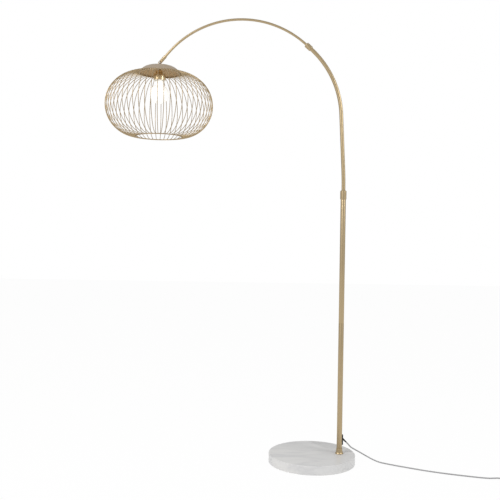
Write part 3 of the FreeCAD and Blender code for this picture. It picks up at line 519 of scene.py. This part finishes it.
def walked(start, heading, way):
    """The points and headings of a line in the lamp's plane, where a heading of h goes along
    (-sin h, cos h). A way's (length, 0) is a straight run. Its (radius, degrees) is a bend, and from
    the bend's start its points are radius * (cos(h + t) - cos h, sin(h + t) - sin h), for t from 0 to
    its angle."""
    points = [np.array([start])]
    headings = [np.array([heading])]
    for size, degrees in way:
        start, heading = points[-1][-1], headings[-1][-1]
        share = np.linspace(0, 1, 2 + math.ceil(degrees))[1:]
        ahead = heading + share * math.radians(degrees)
        if degrees:
            turned = [np.cos(ahead) - np.cos(heading), np.sin(ahead) - np.sin(heading)]
            step = size * np.stack(turned, axis=-1)
        else:
            step = size * share[:, None] * (-math.sin(heading), math.cos(heading))
        points.append(start + step)
        headings.append(ahead)
    return np.concatenate(points), np.concatenate(headings)


def tubed(name, points, headings, radius):
    """A round bar along a line in the lamp's plane: each ring of points lies square to the heading, at
    radius * cos a across the line in the plane and radius * sin a out of it. Its ends are closed."""
    angle = np.linspace(0, 2 * math.pi, TUBE_SIDES, endpoint=False)
    rows = [0, *range(len(points)), -1]
    size = np.full(len(rows), radius)
    size[[0, -1]] = 0
    across = size[:, None] * np.cos(angle)
    along_x = points[rows, :1] + across * np.cos(headings[rows])[:, None]
    along_z = points[rows, 1:] + across * np.sin(headings[rows])[:, None]
    return surface(name, np.stack([along_x, size[:, None] * np.sin(angle), along_z], axis=-1))


thick_line, thick_headings = walked((pole[0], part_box("lower_arm_tube")[0][2]), 0.0, THICK_WAY)
fitted(tubed("thick_tube", thick_line, thick_headings, THICK_RADIUS), gold, "arm", "lower_arm_tube")
thin_line, thin_headings = walked(thick_line[-1], thick_headings[-1], THIN_WAY)
fitted(tubed("thin_tube", thin_line, thin_headings, THIN_RADIUS), gold, "arm", "upper_arm_tube")
COLLAR_RADIUS = 0.011
THICK_BORE, THIN_BORE = 0.0081, 0.0051
COLLAR = [
    (THICK_BORE, -IN_COLLAR, 0),
    (COLLAR_RADIUS, -IN_COLLAR, 0.0018),
    (COLLAR_RADIUS, IN_COLLAR, 0.0022),
    (THIN_BORE, IN_COLLAR, 0),
    (THIN_BORE, 0, 0),
    (THICK_BORE, 0, 0),
    (THICK_BORE, -IN_COLLAR, 0),
]
collar_spot = (thick_line[-1][0], 0, thick_line[-1][1])
collar_along = (-math.sin(thick_headings[-1]), 0, math.cos(thick_headings[-1]))
fitted(lathed("collar", rounded(COLLAR), collar_spot, collar_along), gold, "arm", "arm_collar")
copied("tip_fork", gold, "arm")
copied("hinge_pin", zinc, "arm")
coated(sheath, "pole_lead", "arm_lead")


# The shade hangs from a flat tongue between the fork's cheeks. Its hollow stem goes down through the
# dome, which a nut clamps against its seat, and on into the lampholder.
copied("shade_knuckle", gold, "shade")
coated(zinc, "cap_nut")


# A shallow dome is pressed from steel sheet and lacquered. Its faces that look down get a darker,
# rougher copy of the lacquer: painted shade for the dark inside of the dome.
apex = np.array([centre("shade_dome")[0], 0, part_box("shade_dome")[1][2]])
SHEET = 0.0012
STEM_HOLE = 0.00505
FACES_DOWN = -0.2
CROWN_RADIUS, CROWN_START, CROWN_END = 0.26, math.radians(2.2), math.radians(10)
SHOULDER_RADIUS, SHOULDER_END = 0.061, math.radians(59.5)


def pressed(depth):
    """The dome's line, a depth below its outer face. Both arcs keep their middles: the crown's is on
    the axis, and the shoulder's is on the crown's last spoke. For each, the distance from the axis is
    middle + radius * sin a and the height is middle + radius * cos a."""
    crown = np.linspace(CROWN_START, CROWN_END, 14)
    shoulder = np.linspace(CROWN_END, SHOULDER_END, 26)[1:]
    shift = CROWN_RADIUS - SHOULDER_RADIUS
    across = np.r_[
        (CROWN_RADIUS - depth) * np.sin(crown),
        shift * math.sin(CROWN_END) + (SHOULDER_RADIUS - depth) * np.sin(shoulder),
    ]
    height = np.r_[
        (CROWN_RADIUS - depth) * np.cos(crown),
        shift * math.cos(CROWN_END) + (SHOULDER_RADIUS - depth) * np.cos(shoulder),
    ]
    return np.stack([across, height - CROWN_RADIUS * math.cos(CROWN_START)], axis=-1)


taupe = Finish("dome_lacquer", "dome_paint", Metallic=0.75)
cast = taupe.noise(14.0, detail=3.0)
skin = taupe.noise(650.0)
taupe.colour(taupe.mixed(cast, paint(191, 174, 153), paint(201, 184, 162)))
taupe.rough(0.34 + cast * 0.1)
taupe.raised(skin, distance=0.00002)
# Painted shade: a darker, rougher copy of the dome's lacquer, for its underside.
painted_shade = Finish("dome_painted_shade", "dome_paint", Metallic=0.6)
shade_cast = painted_shade.noise(18.0, detail=3.0)
painted_shade.colour(painted_shade.mixed(shade_cast, paint(180, 152, 114), paint(196, 168, 127)))
painted_shade.rough(0.5 + shade_cast * 0.1)
outside = np.concatenate([[(STEM_HOLE, 0)], pressed(0)])
inside = np.concatenate([pressed(SHEET)[::-1], [(STEM_HOLE, -SHEET)]])
dome = lathed("dome", np.concatenate([outside, inside]), apex, ring=True, around=144)
fitted(dome, taupe, "shade", "shade_dome")
# The faces that look down take the painted shade.
dome.data.materials.append(painted_shade.material)
normals = np.empty(len(dome.data.polygons) * 3)
dome.data.polygons.foreach_get("normal", normals)
below = normals.reshape(-1, 3)[:, 2] < FACES_DOWN
dome.data.polygons.foreach_set("material_index", below.astype(np.int32))


# Fifty-six bent wires make the round cage. Each is welded to a hoop in the dome's rim and to another
# that leaves the cage open below.
WIRES = 56
WIRE_RADIUS = 0.0013
WIRE_SIDES = 10
HOOP_WIRE = 0.002
HOOP_WIRE_SIDES = 14
WIRE_START = 0.0861
SHOULDER_BEND, BELLY_BEND = 0.138, 0.1295
KNEE, WIRE_END = math.radians(54.5), math.radians(178.2)

wire_gold = Finish("wire_lacquer", "wire_paint", Metallic=0.7)
patch = wire_gold.noise(60.0, detail=3.0)
wire_gold.colour(wire_gold.mixed(patch, paint(168, 147, 112), paint(182, 160, 124)))
wire_gold.rough(0.36 + patch * 0.12)


def caged(turn):
    """A wire's middle line from its upper weld, for turns from level. Its distance from the lamp's axis
    is middle + bend * sin turn and its height is middle + bend * cos turn, where the middle moves along
    the knee's spoke as the bend changes."""
    bend = np.where(turn < KNEE, SHOULDER_BEND, BELLY_BEND)
    shift = SHOULDER_BEND - bend
    across = WIRE_START + shift * math.sin(KNEE) + bend * np.sin(turn)
    height = shift * math.cos(KNEE) + bend * np.cos(turn) - SHOULDER_BEND
    return across, height


turns = np.r_[np.linspace(0, KNEE, 14)[:-1], np.linspace(KNEE, WIRE_END, 30)]
across, height = caged(turns)
ends = [0, *range(len(turns)), -1]
across, height, turns = across[ends], height[ends], turns[ends]
girth = np.full(len(turns), WIRE_RADIUS)
girth[[0, -1]] = 0
section = np.linspace(0, 2 * math.pi, WIRE_SIDES, endpoint=False)
outer = across[:, None] + girth[:, None] * np.cos(section) * np.sin(turns)[:, None]
rise = height[:, None] + girth[:, None] * np.cos(section) * np.cos(turns)[:, None]
sideways = girth[:, None] * np.sin(section)
spin = (np.arange(WIRES) * 2 * math.pi / WIRES)[:, None, None]
upper_hoop = centre("top_hoop")
cage = upper_hoop + np.stack(
    [
        outer * np.cos(spin) - sideways * np.sin(spin),
        outer * np.sin(spin) + sideways * np.cos(spin),
        np.broadcast_to(rise, (WIRES, *rise.shape)),
    ],
    axis=-1,
)
index = np.arange(cage[..., 0].size).reshape(cage.shape[:3])
beside = np.roll(index, -1, axis=2)
quads = np.stack([index[:, :-1], beside[:, :-1], beside[:, 1:], index[:, 1:]], axis=-1).reshape(-1, 4)
fitted(meshed("cage", cage, quads), wire_gold, "shade", "cage_wires")
angle = np.linspace(0, 2 * math.pi, HOOP_WIRE_SIDES, endpoint=False)
for node in ("top_hoop", "bottom_hoop"):
    reach = (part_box(node)[1][0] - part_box(node)[0][0]) / 2 - HOOP_WIRE
    section = np.stack([reach + HOOP_WIRE * np.cos(angle), HOOP_WIRE * np.sin(angle)], axis=-1)
    hoop = lathed(node + "_wire", section, centre(node), ring=True, around=160)
    fitted(hoop, wire_gold, "shade", node)


# The lampholder is a spun brass cup over a white ceramic insert with a sprung contact in its roof.
holder = centre("lampholder_shell") * (1, 1, 0) + (0, 0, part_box("lampholder_shell")[0][2])
SHELL_HOLE, SHELL_NECK, SHELL_RADIUS = 0.0052, 0.017, 0.025
SHELL_WALL = 0.001
SHELL_HEIGHT, STEP_TOP, STEP_FOOT = 0.039, 0.031, 0.024
SHELL = [
    (SHELL_HOLE, SHELL_HEIGHT, 0),
    (SHELL_NECK, SHELL_HEIGHT, 0.0016),
    (SHELL_NECK, STEP_TOP, 0.002),
    (SHELL_RADIUS, STEP_FOOT, 0.003),
    (SHELL_RADIUS, 0, 0.0003),
    (SHELL_RADIUS - SHELL_WALL, 0, 0.0003),
    (SHELL_RADIUS - SHELL_WALL, STEP_FOOT, 0.002),
    (SHELL_NECK - SHELL_WALL, STEP_TOP, 0.002),
    (SHELL_NECK - SHELL_WALL, SHELL_HEIGHT - SHELL_WALL, 0),
    (SHELL_HOLE, SHELL_HEIGHT - SHELL_WALL, 0),
    (SHELL_HOLE, SHELL_HEIGHT, 0),
]
cup = lathed("holder_cup", rounded(SHELL)[:-1], holder, ring=True, around=96)
fitted(cup, brass, "shade", "lampholder_shell")
ceramic = Finish("holder_ceramic", "ceramic", Roughness=0.6)
fired = ceramic.noise(220.0, detail=4.0)
ceramic.colour(ceramic.mixed(fired, paint(224, 220, 210), paint(240, 237, 230)))
ceramic.raised(fired, distance=0.00005)
coated(ceramic, "lampholder_insert")
coated(brass, "lampholder_contact", "bulb_contact")


# An opal glass globe bulb, with a rolled metal screw cap.
GLOBE_RADIUS = 0.04
GLOBE_TURN = math.radians(62.5)
NECK_RADIUS = 0.0128
NECK_START = 0.049
IN_CAP = 0.0042
globe = centre("bulb_globe") * (1, 1, 0) + (0, 0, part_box("bulb_globe")[0][2] + GLOBE_RADIUS)
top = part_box("bulb_globe")[1][2] - globe[2]
opal = Finish("opal_glass", "opal_glass", Roughness=0.3, Coat_Weight=0.3, Emission_Strength=0.3)
cloudy = opal.noise(25.0)
opal.colour(opal.mixed(cloudy, paint(252, 250, 245), paint(255, 254, 250)))
opal.feed(opal.shader.inputs["Emission Color"], (1.0, 0.98, 0.94, 1.0))
slope = np.linspace(-math.pi / 2, GLOBE_TURN, 48)
ball = GLOBE_RADIUS * np.stack([np.cos(slope), np.sin(slope)], axis=-1)
neck = rounded(
    [
        (ball[-1, 0], ball[-1, 1], 0),
        (ball[-1, 0], NECK_START, 0.006),
        (NECK_RADIUS, top - IN_CAP, 0.002),
        (NECK_RADIUS, top, 0),
        (0, top, 0),
    ]
)
fitted(lathed("globe", np.concatenate([ball, neck[1:]]), globe, around=96), opal, "shade", "bulb_globe")
thread = Finish("rolled_thread", "cap_metal", Metallic=1.0, Roughness=0.3)
rolled = thread.noise(120.0)
thread.colour(thread.mixed(rolled, paint(196, 196, 196), paint(212, 212, 210)))
threads = thread.node("TexWave", {"bands_direction": "Z"}, {"Vector": thread.place, "Scale": 44.0}, 1)
thread.raised(threads, distance=0.0005)
coated(thread, "bulb_cap")


# A pale floor and an even surround. The camera sees both as plain white, but for the lamp's soft shadow
# on the floor. The surround lights the lamp less than it shows, and two area lamps shade the metal.
FLOOR = np.array([(-9, -6, 0), (9, -6, 0), (9, 12, 0), (-9, 12, 0)], float)
WHITE = (1, 1, 1, 1)
FLOOR_GLOW = 0.96
AMBIENT = 0.55


def ray(wiring, kind):
    """1 for a ray of this kind and 0 for any other."""
    return wiring.node("LightPath", {}, {}, f"Is {kind} Ray")


floor_mesh = bpy.data.meshes.new("studio_floor")
floor_mesh.from_pydata(FLOOR, [], [(0, 1, 2, 3)])
floor = bpy.data.objects.new("studio_floor", floor_mesh)
scene.collection.objects.link(floor)
plain = Finish("studio_floor", "", Roughness=0.9)
plain.colour(paint(250, 250, 250))
seen = ray(plain, "Camera") + ray(plain, "Glossy")
glow = plain.node("Emission", {}, {"Color": WHITE, "Strength": 1.0})
lit = Socket(plain, plain.shader.outputs[0])
shown = plain.node("MixShader", {}, {0: seen * FLOOR_GLOW, 1: lit, 2: glow})
plain.feed(plain.present("OUTPUT_MATERIAL").inputs["Surface"], shown)
floor_mesh.materials.append(plain.material)

scene.world = bpy.data.worlds.new("studio")
sky = Wiring(scene.world)
seen = ray(sky, "Camera") + ray(sky, "Transmission")
background = sky.present("BACKGROUND")
sky.feed(background.inputs["Color"], WHITE)
sky.feed(background.inputs["Strength"], sky.node("MapRange", {}, {0: seen, 3: AMBIENT, 4: 1.0}))

LAMPS_AIM = Vector((-0.2, 0, 1.0))
LAMPS = [
    {"name": "key", "spot": Vector((-2.6, -2.6, 3.0)), "width": 1.6, "power": 80},
    {"name": "side", "spot": Vector((2.8, -1.6, 2.6)), "width": 1.2, "power": 40},
]
for lamp in LAMPS:
    light = bpy.data.lights.new(lamp["name"], "AREA")
    light.size = lamp["width"]
    light.energy = lamp["power"]
    placed = bpy.data.objects.new(lamp["name"], light)
    placed.location = lamp["spot"]
    placed.rotation_euler = (lamp["spot"] - LAMPS_AIM).to_track_quat("Z", "Y").to_euler()
    scene.collection.objects.link(placed)
